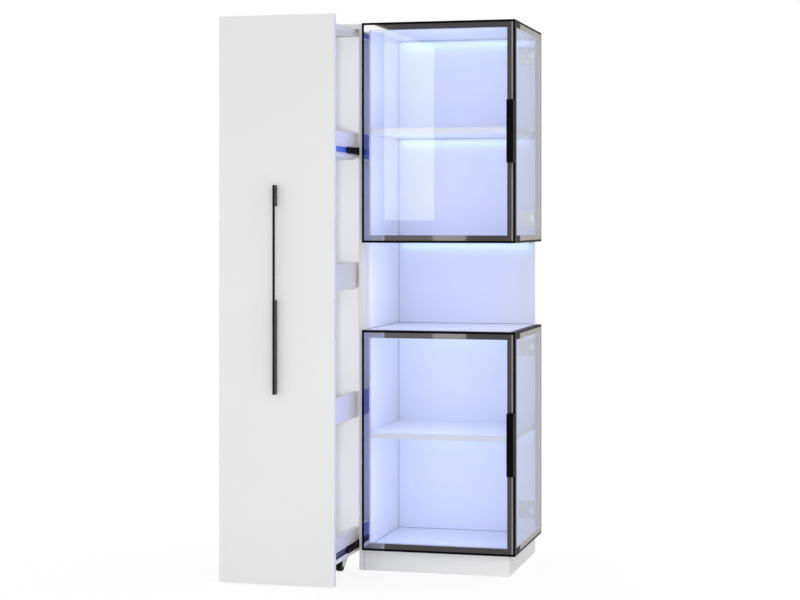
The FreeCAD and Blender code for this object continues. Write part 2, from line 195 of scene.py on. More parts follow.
class StageSettings(bpy.types.PropertyGroup):
    """Floor, lamps and camera."""
    floor_colour: colour("Floor colour", "Plain pale floor", (0.86, 0.86, 0.86))
    case_light: colour("Case light", "Light inside the glass cases", (0.466, 0.536, 1.0))
    niche_light: colour("Niche light", "Light inside the open niche", (0.32, 0.40, 1.0))
    strip_light: colour("Strip light", "Light close to the strips", (0.4, 0.66, 1.0))
    spill_light: colour("Spill light", "Light that the cases throw on the pull-out", (0.25, 0.32, 1.0))
    sky_glow: glow("Sky glow", "Even light from all round", 0.82)
    front_glow: glow("Front glow", "Lamp in front, in watts", 20.0)
    side_glow: glow("Side glow", "Lamp behind on the right, in watts", 22.0)
    low_glow: glow("Low glow", "Lamp low in front of the plinth, in watts", 1.7)
    case_glow: glow("Case glow", "Lamp of each glass case, in watts for each square metre", 6.5)
    niche_glow: glow("Niche glow", "Lamp of the niche, in watts for each square metre", 5.0)
    strip_glow: glow("Strip glow", "Lamp along each light strip, in watts", 0.035)
    spill_glow: glow("Spill glow", "Lamp in front of each glass case, in watts", 1.0)
    edge_glow: glow("Edge glow", "Lamp on the divider's front edge, in watts", 0.3)
    shelf_glow: glow("Shelf glow", "Blue lamp on the shelf fronts, in watts", 35.0)
    bay_glow: glow("Bay glow", "Lamp inside the bay, in watts", 2.5)
    fill_glow: glow("Fill glow", "Lamp beside the eye, in watts", 85.0)
    pane_card: glow("Pane card", "Brightness of the card in the upper front pane", 1.94)
    margin_card: glow("Margin card", "Brightness of the card in the upper front door's border", 1.5)
    rail_card: colour("Rail card", "Dusk that the hinge stiles mirror", (0.155, 0.175, 0.515))


class BookcaseSettings(bpy.types.PropertyGroup):
    """All the settings of the bookcase."""
    boards: PointerProperty(type=BoardSettings)
    doors: PointerProperty(type=DoorSettings)
    fittings: PointerProperty(type=FittingSettings)
    casters: PointerProperty(type=CasterSettings)
    strips: PointerProperty(type=StripSettings)
    stage: PointerProperty(type=StageSettings)


# Helpers for node trees

def wire(tree, item, inputs):
    """Fill a node's inputs: a socket is linked, anything else is set as the value."""
    for name, value in inputs.items():
        if isinstance(value, bpy.types.NodeSocket):
            tree.links.new(value, item.inputs[name])
        else:
            item.inputs[name].default_value = value


def add(tree, kind, inputs=None, **settings):
    """Add a node with its settings and inputs."""
    item = tree.nodes.new(kind)
    for name, value in settings.items():
        setattr(item, name, value)
    wire(tree, item, inputs or {})
    return item


def sum_of(tree, operation, first, second=0.0):
    """The result of one sum on two values."""
    return add(tree, "ShaderNodeMath", {0: first, 1: second}, operation=operation).outputs[0]


def spread(tree, value, low, high):
    """Stretch a value from 0..1 to low..high."""
    item = add(tree, "ShaderNodeMapRange", {"Value": value, "To Min": low, "To Max": high})
    return item.outputs["Result"]


def blend_colours(tree, mask, first, second):
    """The first colour where the mask is 0, the second where it is 1."""
    item = add(tree, "ShaderNodeMix", data_type="RGBA")
    for socket, value in ((item.inputs[0], mask), (item.inputs[6], first), (item.inputs[7], second)):
        if isinstance(value, bpy.types.NodeSocket):
            tree.links.new(value, socket)
        else:
            socket.default_value = value
    return item.outputs[2]


def mixed(tree, mask, first, second):
    """The first shader where the mask is 0, the second where it is 1."""
    return add(tree, "ShaderNodeMixShader", {0: mask, 1: first, 2: second}).outputs[0]


def rgba(shade, factor=1.0):
    """A colour setting as four numbers, made lighter or darker by a factor."""
    return (*(min(1.0, part * factor) for part in shade), 1.0)


def noise(tree, place, scale, detail=2.0, stretch=None):
    """Noise over the surface, 0 to 1, drawn out along an axis where stretch says so."""
    if stretch:
        place = add(tree, "ShaderNodeMapping", {"Vector": place, "Scale": stretch}).outputs["Vector"]
    item = add(tree, "ShaderNodeTexNoise", {"Vector": place, "Scale": scale, "Detail": detail})
    return item.outputs[0]


def open_group(name, kind, inputs, outputs):
    """A node group with its sockets, and its input and output nodes."""
    tree = bpy.data.node_groups.new(name, kind)
    for label, sort, value in inputs:
        socket = tree.interface.new_socket(label, in_out="INPUT", socket_type=f"NodeSocket{sort}")
        if value is not None:
            socket.default_value = value
    for label, sort in outputs:
        tree.interface.new_socket(label, in_out="OUTPUT", socket_type=f"NodeSocket{sort}")
    return tree, tree.nodes.new("NodeGroupInput"), tree.nodes.new("NodeGroupOutput")


# Surface effects that several finishes share

def lacquer_skin():
    """Fine peel and slow drift of tone on a sprayed surface."""
    tree, given, made = open_group(
        "lacquer_skin", "ShaderNodeTree",
        (("Peel Size", "Float", 1.4 * MM), ("Drift Size", "Float", 300 * MM)),
        (("Tone", "Float"), ("Gloss", "Float"), ("Height", "Float")),
    )
    place = add(tree, "ShaderNodeTexCoord").outputs["Object"]
    peel = noise(tree, place, sum_of(tree, "DIVIDE", 1.0, given.outputs["Peel Size"]))
    drift = noise(tree, place, sum_of(tree, "DIVIDE", 1.0, given.outputs["Drift Size"]), 3.0)
    mottle = noise(tree, place, sum_of(tree, "DIVIDE", 8.0, given.outputs["Drift Size"]), 4.0)
    wire(tree, made, {"Tone": drift, "Gloss": mottle, "Height": peel})
    return tree


def brushed_grain():
    """Fine lines along one axis, as a brush leaves them on metal."""
    tree, given, made = open_group(
        "brushed_grain", "ShaderNodeTree",
        (("Line Size", "Float", 0.4 * MM), ("Stretch", "Vector", ALONG_Z)),
        (("Lines", "Float"), ("Cloud", "Float")),
    )
    place = add(tree, "ShaderNodeTexCoord").outputs["Object"]
    drawn = add(tree, "ShaderNodeVectorMath", {0: place, 1: given.outputs["Stretch"]}, operation="MULTIPLY")
    scale = sum_of(tree, "DIVIDE", 1.0, given.outputs["Line Size"])
    lines = noise(tree, drawn.outputs[0], scale, 3.0)
    cloud = noise(tree, place, sum_of(tree, "MULTIPLY", scale, 0.02), 3.0)
    wire(tree, made, {"Lines": lines, "Cloud": cloud})
    return tree


def touch_marks():
    """Faint smears that hands and cloths leave on glass and dark metal."""
    tree, given, made = open_group(
        "touch_marks", "ShaderNodeTree",
        (("Mark Size", "Float", 60 * MM), ("Cover", "Float", 0.4)),
        (("Marks", "Float"),),
    )
    place = add(tree, "ShaderNodeTexCoord").outputs["Object"]
    patches = noise(tree, place, sum_of(tree, "DIVIDE", 1.0, given.outputs["Mark Size"]), 5.0)
    least = sum_of(tree, "SUBTRACT", 1.0, given.outputs["Cover"])
    item = add(tree, "ShaderNodeMapRange", {"Value": patches, "From Min": least, "From Max": 1.0})
    wire(tree, made, {"Marks": item.outputs["Result"]})
    return tree


GROUPS = {}


def effect(tree, make, **inputs):
    """Place a shared effect in a material. It is built the first time that it is used."""
    if make.__name__ not in GROUPS:
        GROUPS[make.__name__] = make()
    item = tree.nodes.new("ShaderNodeGroup")
    item.node_tree = GROUPS[make.__name__]
    wire(tree, item, {name.replace("_", " "): value for name, value in inputs.items()})
    return item.outputs


# Finishes

def new_finish(name):
    """An empty material and its node tree."""
    made = bpy.data.materials.new(name)
    made.use_nodes = True
    made.node_tree.nodes.clear()
    return made, made.node_tree


def surface(tree, inputs):
    """The material's shader, joined to its output."""
    shader = add(tree, "ShaderNodeBsdfPrincipled", inputs)
    add(tree, "ShaderNodeOutputMaterial", {"Surface": shader.outputs["BSDF"]})
    return shader


def bump(tree, height, strength, distance):
    """A normal from a height over the surface."""
    item = add(tree, "ShaderNodeBump", {"Height": height, "Strength": strength, "Distance": distance})
    return item.outputs["Normal"]


def lacquer(name, shade, look, rough):
    """Satin lacquer with a fine peel."""
    made, tree = new_finish(name)
    skin = effect(tree, lacquer_skin, Peel_Size=look.peel_size, Drift_Size=look.drift_size)
    surface(tree, {
        "Base Color": blend_colours(tree, skin["Tone"], rgba(shade, 0.975), rgba(shade, 1.015)),
        "Roughness": spread(tree, skin["Gloss"], rough - 0.06, rough + 0.06),
        "Coat Weight": 0.12,
        "Coat Roughness": 0.18,
        "Normal": bump(tree, skin["Height"], 0.06, 0.05 * MM),
    })
    return made


def brushed_metal(name, shade, metal, rough, stretch, contrast=0.2, gloss=0.5):
    """Brushed or plated metal with fine lines along one axis."""
    made, tree = new_finish(name)
    grain = effect(tree, brushed_grain, Line_Size=0.35 * MM, Stretch=stretch)
    marks = effect(tree, touch_marks, Mark_Size=35 * MM, Cover=0.35)
    lines = blend_colours(tree, grain["Lines"], rgba(shade, 1 - contrast), rgba(shade, 1 + contrast))
    surface(tree, {
        "Base Color": blend_colours(tree, marks["Marks"], lines, rgba(shade, 1 + 1.7 * contrast)),
        "Metallic": metal,
        "Specular IOR Level": gloss,
        "Roughness": spread(tree, grain["Cloud"], rough - 0.07, rough + 0.1),
        "Normal": bump(tree, grain["Lines"], 0.12, 0.04 * MM),
    })
    return made


def near(tree, value, plane, reach=0.3 * MM):
    """1 where a coordinate lies on a plane, else 0."""
    item = add(tree, "ShaderNodeMath", {0: value, 1: plane, 2: reach}, operation="COMPARE")
    return item.outputs[0]


def frame_finish(look):
    """Dark lip and rim, with satin metal inside the frame."""
    made, tree = new_finish("door_frame_metal")
    place = add(tree, "ShaderNodeTexCoord").outputs["Object"]
    at = add(tree, "ShaderNodeSeparateXYZ", {0: place}).outputs
    lip_deep = GLASS_DEEP - 0.2 * MM
    dark = sum_of(tree, "MAXIMUM", sum_of(tree, "LESS_THAN", at["Y"], FRONT + lip_deep),
                  sum_of(tree, "GREATER_THAN", at["X"], RIGHT - lip_deep))
    rims = [("X", DOOR_LEFT), ("Y", SIDE_END)]
    for case in CASES:
        rims += [("Z", corner.z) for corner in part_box(f"{case}_front_door_frame")]
    for axis, plane in rims:
        dark = sum_of(tree, "MAXIMUM", dark, near(tree, at[axis], plane))
    grain = effect(tree, brushed_grain, Line_Size=0.5 * MM, Stretch=(0.1, 1.0, 0.1))
    marks = effect(tree, touch_marks, Mark_Size=45 * MM, Cover=0.3)
    lip = blend_colours(tree, marks["Marks"], rgba(look.lip_colour), rgba(look.lip_colour, 2.2))
    inside = blend_colours(
        tree, grain["Lines"], rgba(look.inner_colour, 0.92), rgba(look.inner_colour, 1.06))
    rear = sum_of(tree, "GREATER_THAN", at["Y"], SIDE_END - look.border - MM)
    inside = blend_colours(tree, rear, inside, rgba(look.rear_colour))
    surface(tree, {
        "Base Color": blend_colours(tree, dark, inside, lip),
        "Specular IOR Level": spread(tree, dark, 0.25, 0.08),
        "Roughness": spread(tree, grain["Cloud"], 0.30, 0.46),
        "Normal": bump(tree, grain["Lines"], 0.03, 0.02 * MM),
    })
    return made


def margin_finish(look):
    """Near-mirror metal behind a pane's border, with a painted blue reflection on the hinge stiles."""
    made, tree = new_finish("pane_margin_polish")
    grain = effect(tree, brushed_grain, Line_Size=0.6 * MM, Stretch=(0.1, 0.1, 0.1))
    marks = effect(tree, touch_marks, Mark_Size=50 * MM, Cover=0.35)
    at = add(tree, "ShaderNodeSeparateXYZ", {0: add(tree, "ShaderNodeTexCoord").outputs["Object"]}).outputs
    # Mask for the painted blue reflection: the front doors' hinge stiles below the top rail
    hinge = sum_of(tree, "MULTIPLY", sum_of(tree, "LESS_THAN", at["X"], DOOR_LEFT + look.border + MM),
                   sum_of(tree, "LESS_THAN", at["Z"], CAD_BOX[1][2] - look.border - MM))
    corner = sum_of(tree, "MULTIPLY", sum_of(tree, "GREATER_THAN", at["X"], RIGHT - GLASS_DEEP - MM),
                    sum_of(tree, "LESS_THAN", at["Y"], FRONT + look.corner_long))
    # The front doors' panes end short of the corner, in the plane of their own faces
    corner = sum_of(tree, "MULTIPLY", corner, sum_of(tree, "GREATER_THAN", at["Y"], FRONT + GLASS_DEEP))
    band = blend_colours(tree, grain["Cloud"], rgba(look.band_colour, 0.97), rgba(look.band_colour, 1.03))
    # Painted reflection: the hinge stiles take the bluish tint
    band = blend_colours(tree, hinge, band, rgba(look.painted_hinge_reflection))
    surface(tree, {
        "Base Color": blend_colours(tree, corner, band, rgba(look.corner_band)),
        "Metallic": spread(tree, corner, 1.0, 0.0),
        "Specular IOR Level": spread(tree, corner, 0.5, 0.02),
        "Roughness": spread(tree, marks["Marks"], 0.02, 0.07),
    })
    return made


def glass_finish(name, shade):
    """Clear polished glass with faint smears, which lets the lamps' light through."""
    made, tree = new_finish(name)
    marks = effect(tree, touch_marks, Mark_Size=90 * MM, Cover=0.38)
    glass = add(tree, "ShaderNodeBsdfPrincipled", {
        "Base Color": rgba(shade),
        "Roughness": spread(tree, marks["Marks"], 0.0, 0.012),
        "IOR": 1.52,
        "Transmission Weight": 1.0,
    })
    clear = add(tree, "ShaderNodeBsdfTransparent", {"Color": rgba(shade)})
    shadow = add(tree, "ShaderNodeLightPath").outputs["Is Shadow Ray"]
    both = mixed(tree, shadow, glass.outputs["BSDF"], clear.outputs["BSDF"])
    add(tree, "ShaderNodeOutputMaterial", {"Surface": both})
    return made


def moulded(name, shade, rough, grain_size=0.5 * MM):
    """Moulded rubber or nylon with a fine grain."""
    made, tree = new_finish(name)
    skin = effect(tree, lacquer_skin, Peel_Size=grain_size, Drift_Size=40 * MM)
    surface(tree, {
        "Base Color": blend_colours(tree, skin["Tone"], rgba(shade, 0.8), rgba(shade, 1.3)),
        "Roughness": spread(tree, skin["Gloss"], rough - 0.1, rough + 0.1),
        "Normal": bump(tree, skin["Height"], 0.25, 0.08 * MM),
    })
    return made


def lens_finish(look):
    """Frosted lens that glows a little brighter over each chip."""
    made, tree = new_finish("strip_lens")
    place = add(tree, "ShaderNodeTexCoord").outputs["Object"]
    along = add(tree, "ShaderNodeSeparateXYZ", {0: place}).outputs["X"]
    wave = sum_of(tree, "COSINE", sum_of(tree, "MULTIPLY", along, 2 * math.pi / look.chip_pitch))
    spots = sum_of(tree, "MULTIPLY", sum_of(tree, "ADD", wave, 1.0), 0.5)
    skin = effect(tree, lacquer_skin, Peel_Size=0.6 * MM, Drift_Size=30 * MM)
    shade = blend_colours(tree, spots, rgba(look.lens_colour, 0.85), rgba(look.lens_colour))
    surface(tree, {
        "Base Color": shade,
        "Roughness": spread(tree, skin["Gloss"], 0.45, 0.6),
        "Emission Color": shade,
        "Emission Strength": look.lens_glow,
        "Normal": bump(tree, skin["Height"], 0.1, 0.05 * MM),
    })
    return made


# Helpers for pieces

def nodes_of(slot):
    """The CAD nodes that take a slot's finish."""
    return [frame["nodes"][name] for name, used in SLOTS.items() if used == slot]


def dress(item, finish):
    """Give a CAD node or a piece its one finish."""
    item.data.materials.clear()
    item.data.materials.append(finish)


def round_edges(item, radius, segments=2):
    """Round the edges of a CAD node with modifiers, which leave its own mesh as it is."""
    item.modifiers.new("Weld", "WELD").merge_threshold = 0.01 * MM
    flat = item.modifiers.new("Flat", "DECIMATE")
    flat.decimate_type = "DISSOLVE"
    flat.angle_limit = math.radians(0.5)
    edge = item.modifiers.new("Edge", "BEVEL")
    edge.width = radius
    edge.segments = segments
    edge.limit_method = "ANGLE"
    edge.angle_limit = math.radians(40)


def settle(item, body, finish):
    """Hang a finished piece on its body."""
    bpy.context.scene.collection.objects.link(item)
    if finish:
        dress(item, finish)
    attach(item, body)
    return item


def piece(name, build, body, finish):
    """A new mesh piece that a build function fills."""
    work = bmesh.new()
    build(work)
    bmesh.ops.remove_doubles(work, verts=work.verts, dist=0.001 * MM)
    bmesh.ops.recalc_face_normals(work, faces=work.faces)
    mesh = bpy.data.meshes.new(name)
    work.to_mesh(mesh)
    work.free()
    return settle(bpy.data.objects.new(name, mesh), body, finish)


def lathe(work, profile, centre, steps=48):
    """Turn a closed profile of (along x, radius) points round an axle along x."""
    rings = []
    for step in range(steps):
        turn = 2 * math.pi * step / steps
        rings.append([
            work.verts.new(centre + Vector((x, radius * math.cos(turn), radius * math.sin(turn))))
            for x, radius in profile
        ])
    for ring, after in zip(rings, rings[1:] + rings[:1]):
        for spot in range(len(profile)):
            last = spot - 1
            work.faces.new((ring[last], ring[spot], after[spot], after[last]))


def block(work, low, high, radius=0.0):
    """A box between two corners with rounded edges."""
    size = high - low
    made = bmesh.ops.create_cube(work, size=1.0, matrix=Matrix.Translation((low + high) / 2)
                                 @ Matrix.Diagonal((*size, 1.0)))
    if radius:
        edges = list({edge for spot in made["verts"] for edge in spot.link_edges})
        bmesh.ops.bevel(work, geom=edges, offset=radius, segments=3, profile=0.5, affect="EDGES")


def extrude(work, outline, start, end):
    """A prism along y from an outline of (x, z) points."""
    near_ring = [work.verts.new((x, start, z)) for x, z in outline]
    far_ring = [work.verts.new((x, end, z)) for x, z in outline]
    work.faces.new(near_ring)
    work.faces.new(far_ring)
    for spot in range(len(outline)):
        work.faces.new((near_ring[spot - 1], near_ring[spot], far_ring[spot], far_ring[spot - 1]))


def smooth(item, degrees=35):
    """Shade a turned piece smooth, with its real edges kept sharp."""
    item.data.shade_smooth()
    item.data.set_sharp_from_angle(angle=math.radians(degrees))


def door_spot(door, offset, deep, height):
    """A point on a door: so far from its hinge edge, so deep from its outer face, at a height."""
    if "front" in door:
        return Vector((DOOR_LEFT + offset, FRONT + deep, height))
    return Vector((RIGHT - deep, SIDE_END - offset, height))


def door_block(work, door, offsets, deeps, heights, radius):
    """A rounded block on a door, between two offsets, two depths and two heights."""
    first = door_spot(door, offsets[0], deeps[0], heights[0])
    last = door_spot(door, offsets[1], deeps[1], heights[1])
    low = Vector(min(pair) for pair in zip(first, last))
    high = Vector(max(pair) for pair in zip(first, last))
    block(work, low, high, radius)


def border(work, outer, inner, along):
    """A flat border between two boxes of the same thickness, square across the axis that is left."""
    through = 1 - along
    loops = []
    for box, deep in ((outer, 0), (inner, 0), (inner, 1), (outer, 1)):
        corners = []
        for first, second in ((0, 0), (1, 0), (1, 1), (0, 1)):
            spot = Vector()
            spot[along], spot[2], spot[through] = box[first][along], box[second].z, box[deep][through]
            corners.append(work.verts.new(spot))
        loops.append(corners)
    for loop, after in zip(loops, loops[1:] + loops[:1]):
        for spot in range(4):
            work.faces.new((loop[spot - 1], loop[spot], after[spot], after[spot - 1]))


def nodes_piece(name, tree, spots, inputs, body, facing=None, edges=()):
    """A plain mesh from a geometry node tree that works on a few points or lines."""
    mesh = bpy.data.meshes.new(name)
    mesh.from_pydata(spots, edges, [])
    if facing:
        layer = mesh.attributes.new("facing", "FLOAT_VECTOR", "POINT")
        for item, way in zip(layer.data, facing):
            item.vector = way
    seed = bpy.data.objects.new(f"{name}_seed", mesh)
    bpy.context.scene.collection.objects.link(seed)
    modifier = seed.modifiers.new("Nodes", "NODES")
    modifier.node_group = tree
    for socket in tree.interface.items_tree:
        if socket.in_out == "INPUT" and socket.name in inputs:
            modifier[socket.identifier] = inputs[socket.name]
    depsgraph = bpy.context.evaluated_depsgraph_get()
    made = bpy.data.meshes.new_from_object(seed.evaluated_get(depsgraph), depsgraph=depsgraph)
    made.name = name
    bpy.data.objects.remove(seed)
    return settle(bpy.data.objects.new(name, made), body, inputs["Material"])


def open_nodes(name, sizes):
    """A geometry node tree with a geometry input, named sizes and a material."""
    inputs = [("Geometry", "Geometry", None)]
    inputs += [(label, "Float", value) for label, value in sizes.items()]
    inputs += [("Material", "Material", None)]
    return open_group(name, "GeometryNodeTree", inputs, (("Geometry", "Geometry"),))


def close_nodes(tree, given, made, geometry):
    """End a geometry node tree: real mesh, one material."""
    real = add(tree, "GeometryNodeRealizeInstances", {"Geometry": geometry})
    dressed = add(tree, "GeometryNodeSetMaterial", {
        "Geometry": real.outputs["Geometry"], "Material": given.outputs["Material"]})
    wire(tree, made, {"Geometry": dressed.outputs["Geometry"]})
    return tree


def on_points(tree, given, shape):
    """A shape on every point of the input, turned to the point's facing."""
    facing = add(tree, "GeometryNodeInputNamedAttribute", {"Name": "facing"}, data_type="FLOAT_VECTOR")
    aim = add(tree, "FunctionNodeAlignRotationToVector", {"Vector": facing.outputs[0]}, axis="Z")
    spots = add(tree, "GeometryNodeMeshToPoints", {"Mesh": given.outputs["Geometry"]})
    copies = add(tree, "GeometryNodeInstanceOnPoints", {
        "Points": spots.outputs["Points"], "Instance": shape, "Rotation": aim.outputs[0]})
    return copies.outputs["Instances"]


def screw_nodes():
    """A cross-recess screw head on every point."""
    tree, given, made = open_nodes("screw_heads", {"Radius": 3 * MM, "Height": MM, "Recess": MM})
    radius, height, recess = (given.outputs[name] for name in ("Radius", "Height", "Recess"))
    head = add(tree, "GeometryNodeMeshCone", {
        "Vertices": 28, "Radius Top": sum_of(tree, "MULTIPLY", radius, 0.72), "Radius Bottom": radius,
        "Depth": height})
    arm = sum_of(tree, "MULTIPLY", radius, 1.05)
    lift = add(tree, "ShaderNodeCombineXYZ", {"Z": height}).outputs[0]
    cut = add(tree, "GeometryNodeMeshBoolean", {"Mesh 1": head.outputs["Mesh"]}, operation="DIFFERENCE")
    for wide, deep in ((arm, recess), (recess, arm)):
        size = add(tree, "ShaderNodeCombineXYZ", {"X": wide, "Y": deep, "Z": height})
        bar = add(tree, "GeometryNodeMeshCube", {"Size": size.outputs[0]})
        raised = add(tree, "GeometryNodeTransform", {"Geometry": bar.outputs["Mesh"], "Translation": lift})
        tree.links.new(raised.outputs["Geometry"], cut.inputs["Mesh 2"])
    return close_nodes(tree, given, made, on_points(tree, given, cut.outputs["Mesh"]))


def dome_nodes():
    """A low dome on every point: two stacked tapers."""
    tree, given, made = open_nodes("low_domes", {"Radius": 4 * MM, "Height": 2 * MM})
    radius, height = given.outputs["Radius"], given.outputs["Height"]
    dome = add(tree, "GeometryNodeMeshCone", {
        "Vertices": 28, "Side Segments": 4, "Radius Top": sum_of(tree, "MULTIPLY", radius, 0.45),
        "Radius Bottom": radius, "Depth": height})
    place = add(tree, "GeometryNodeInputPosition").outputs[0]
    up = add(tree, "ShaderNodeSeparateXYZ", {0: place}).outputs["Z"]
    rise = sum_of(tree, "DIVIDE", up, height)
    swell = sum_of(tree, "MULTIPLY", rise, sum_of(tree, "SUBTRACT", 1.0, rise))
    grow = sum_of(tree, "ADD", 1.0, sum_of(tree, "MULTIPLY", swell, 0.9))
    wide = add(tree, "ShaderNodeCombineXYZ", {"X": grow, "Y": grow, "Z": 1.0})
    bulged = add(tree, "ShaderNodeVectorMath", {0: place, 1: wide.outputs[0]}, operation="MULTIPLY")
    shaped = add(tree, "GeometryNodeSetPosition", {
        "Geometry": dome.outputs["Mesh"], "Position": bulged.outputs[0]})
    return close_nodes(tree, given, made, on_points(tree, given, shaped.outputs["Geometry"]))


def strip_nodes():
    """A bar of one rounded section along every line."""
    tree, given, made = open_nodes("strip_bars", {"Wide": 10 * MM, "High": 6 * MM, "Radius": MM})
    section = add(tree, "GeometryNodeCurvePrimitiveQuadrilateral", {
        "Width": given.outputs["Wide"], "Height": given.outputs["High"]})
    rounded = add(tree, "GeometryNodeFilletCurve", {
        "Curve": section.outputs["Curve"], "Radius": given.outputs["Radius"], "Count": 4}, mode="POLY")
    path = add(tree, "GeometryNodeMeshToCurve", {"Mesh": given.outputs["Geometry"]})
    bar = add(tree, "GeometryNodeCurveToMesh", {
        "Curve": path.outputs["Curve"], "Profile Curve": rounded.outputs["Curve"], "Fill Caps": True})
    return close_nodes(tree, given, made, bar.outputs["Mesh"])


TREES = {}


def repeated(make, name, spots, inputs, body, facing=None, edges=()):
    """A piece from one of the node trees, which is built the first time that it is used."""
    if make.__name__ not in TREES:
        TREES[make.__name__] = make()
    return nodes_piece(name, TREES[make.__name__], spots, inputs, body, facing, edges)


def screws(name, spots, facing, look, finish, body, share_of_size=1.0):
    """Screw heads at a few points, all of one size."""
    sizes = {"Radius": look.screw_radius, "Height": look.screw_height, "Recess": look.recess_wide}
    inputs = {label: size * share_of_size for label, size in sizes.items()}
    return repeated(screw_nodes, name, spots, {**inputs, "Material": finish}, body, facing)


# Operators, one for each group of pieces

class BOOKCASE_OT_boards(bpy.types.Operator):
    """Lacquer the boards and the guard rails, round their edges, and lay dark joint lines with painted
    shade
    """
    bl_idname = "bookcase.boards"
    bl_label = "Boards"

    # Where the joint lines, dark with painted corner shade, stop short of the boards' edges
    front_gap, right_gap, end_gap = 4 * MM, 5 * MM, MM

    def execute(self, context):
        look = context.scene.bookcase.boards
        for slot, shade, rough in (("white_board", look.board_colour, 0.36),
                                   ("rail_board", look.rail_colour, 0.42)):
            finish = lacquer(f"{slot}_lacquer", shade, look, rough)
            for item in nodes_of(slot):
                dress(item, finish)
                round_edges(item, look.edge_radius)
        # Dark joint lines, partly real board gaps and partly painted shade in the corners
        shaded_joint_finish = moulded("joint_line_shade", look.joint_shade_colour, 0.6)
        wide = look.joint_wide
        sizes = {"Wide": wide, "High": wide, "Radius": 0.3 * wide, "Material": shaded_joint_finish}
        half = wide / 2
        for name, body, spots in (("case_joints", "carcass", self.case_joints(half)),
                                  ("pull_out_joints", "pull_out", self.pull_out_joints(half))):
            edges = [(spot, spot + 1) for spot in range(0, len(spots), 2)]
            repeated(strip_nodes, name, spots, sizes, body, edges=edges)
        return {"FINISHED"}

    def case_joints(self, half):
        """Lines of painted corner shade up the rear left corner of each lit space, round its floor, and
        down the plinth.
        """
        left, rear = INSIDE_LEFT + half, BACK_FACE - half
        plinth_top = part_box("plinth_front")[1].z
        front = CASE_FRONT + half
        spots = [(INSIDE_LEFT, front, self.end_gap), (INSIDE_LEFT, front, plinth_top - self.end_gap)]
        for number, (low, high) in enumerate(case_spaces()):
            spots += [(left, rear, low.z + 2 * half), (left, rear, high.z - self.end_gap)]
            if number not in SHELF_SPACES:
                floor = low.z + half
                spots += [(left, CASE_FRONT + self.front_gap, floor), (left, rear - half, floor)]
                spots += [(left + half, rear, floor), (high.x - self.right_gap, rear, floor)]
        return spots

    def pull_out_joints(self, half):
        """A line of painted corner shade along the rear of the pull-out's ceiling."""
        low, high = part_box("pull_out_top")
        return [(end, high.y - half, low.z - half) for end in (low.x + self.end_gap, high.x - self.end_gap)]


class BOOKCASE_OT_doors(bpy.types.Operator):
    """Finish the frames of the four glass doors and make their panes, margins and seals"""
    bl_idname = "bookcase.doors"
    bl_label = "Glass doors"

    def execute(self, context):
        look = context.scene.bookcase.doors
        metal, margin = frame_finish(look), margin_finish(look)
        panes = {"front": glass_finish("front_glass", look.glass_colour),
                 "side": glass_finish("side_glass", look.side_glass)}
        seal = moulded("pane_seal", look.seal_colour, 0.5)
        for item in nodes_of("door_frame"):
            dress(item, metal)
            round_edges(item, look.edge_radius)
        for case in CASES:
            for side, along in (("front", 0), ("side", 1)):
                door = f"{case}_{side}_door"
                low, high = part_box(f"{door}_glass")
                outer = [low.copy(), high.copy()]
                inner = [corner.copy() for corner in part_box(f"{door}_frame")]
                for axis in (along, 2):
                    inner[0][axis] += look.border
                    inner[1][axis] -= look.border
                inner[0][1 - along], inner[1][1 - along] = low[1 - along], high[1 - along]
                if side == "front":
                    outer[1].x -= look.seal_wide
                    strip = [Vector((outer[1].x + look.joint, low.y, low.z)), high]
                    piece(f"{door}_seal", lambda work: block(work, *strip), door, seal)
                piece(f"{door}_margin", lambda work: border(work, outer, inner, along),
                      door, margin)
                gap = Vector((look.joint, look.joint, look.joint))
                gap[1 - along] = 0.0
                pane = piece(f"{door}_pane", lambda work: block(work, inner[0] + gap, inner[1] - gap),
                             door, panes[side])
                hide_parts(f"{door}_glass")
        return {"FINISHED"}


class BOOKCASE_OT_handles(bpy.types.Operator):
    """Finish the edge handles and the long pull"""
    bl_idname = "bookcase.handles"
    bl_label = "Handles"

    def execute(self, context):
        look = context.scene.bookcase.fittings
        finish = brushed_metal("handle_black", look.handle_colour, 0.55, 0.34, ALONG_Z)
        grip = brushed_metal("grip_black", look.grip_colour, 0.0, 0.45, ALONG_Z, gloss=0.15)
        for item in nodes_of("black_handle"):
            dress(item, finish if item.name.startswith("pull_out") else grip)
            round_edges(item, look.edge_radius, 3)
        return {"FINISHED"}


